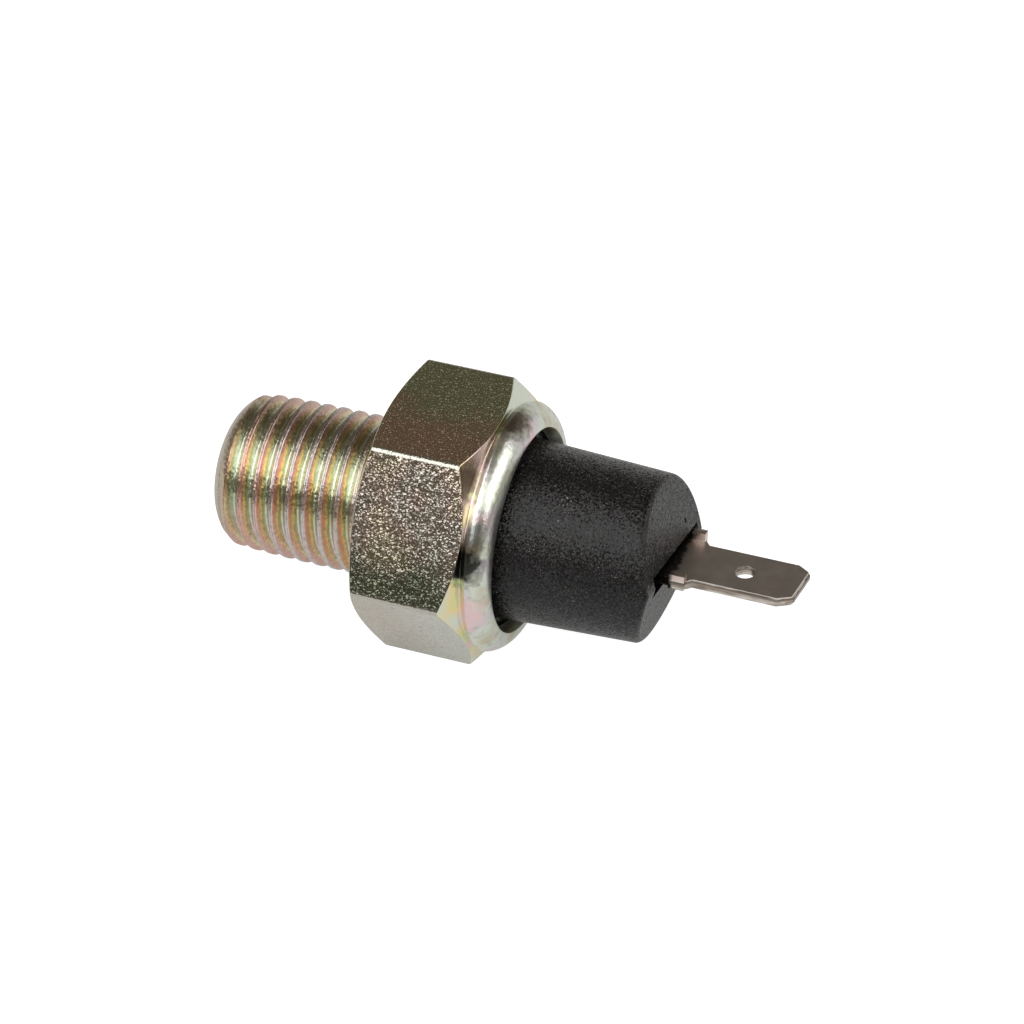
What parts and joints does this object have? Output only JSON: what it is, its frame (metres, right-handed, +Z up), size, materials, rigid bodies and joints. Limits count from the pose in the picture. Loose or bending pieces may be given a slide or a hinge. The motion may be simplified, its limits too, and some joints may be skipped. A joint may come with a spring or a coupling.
{
  "type": "oil pressure sender",
  "caption": "Oil pressure sender: plated hexagon body with a threaded spigot and oil port, rolled collar, black moulded insulator, flat blade terminal and a sprung contact inside.",
  "frame": {"origin": "under the middle of the sender's length, on the surface that it lies on", "axes": "+X runs along the sender's axis from the oil end to the blade's tip, +Z is up out of the upper hexagon flat"},
  "size_m": [0.0514, 0.0252, 0.022],
  "materials": {
    "passivated_zinc": "yellow passivated zinc plate, satin, iridescent",
    "bright_steel": "bright drawn steel",
    "brass": "pressed brass",
    "tinned_brass": "dull tinned brass with bright sheared edges",
    "amber_film": "thin polyimide film",
    "black_nylon": "fine matt moulded grain",
    "natural_nylon": "natural nylon",
    "black_rubber": "smooth nitrile rubber"
  },
  "bodies": {
    "housing": {"body": "passivated_zinc", "clamp_ring": "bright_steel", "contact_ring": "brass", "diaphragm": "amber_film", "insulator": "black_nylon", "sealing_ring": "black_rubber", "spring": "bright_steel", "spring_seat": "brass", "terminal": "tinned_brass"},
    "contact": {"contact_disc": "brass", "push_pin": "natural_nylon"}
  },
  "joints": [
    {"name": "contact_lift", "type": "slide", "parent": "housing", "child": "contact", "axis": [1, 0, 0], "range_m": [0, 0.0005], "stiffness_N_per_m": 1500, "deforming": ["spring", "diaphragm"]}
  ]
}
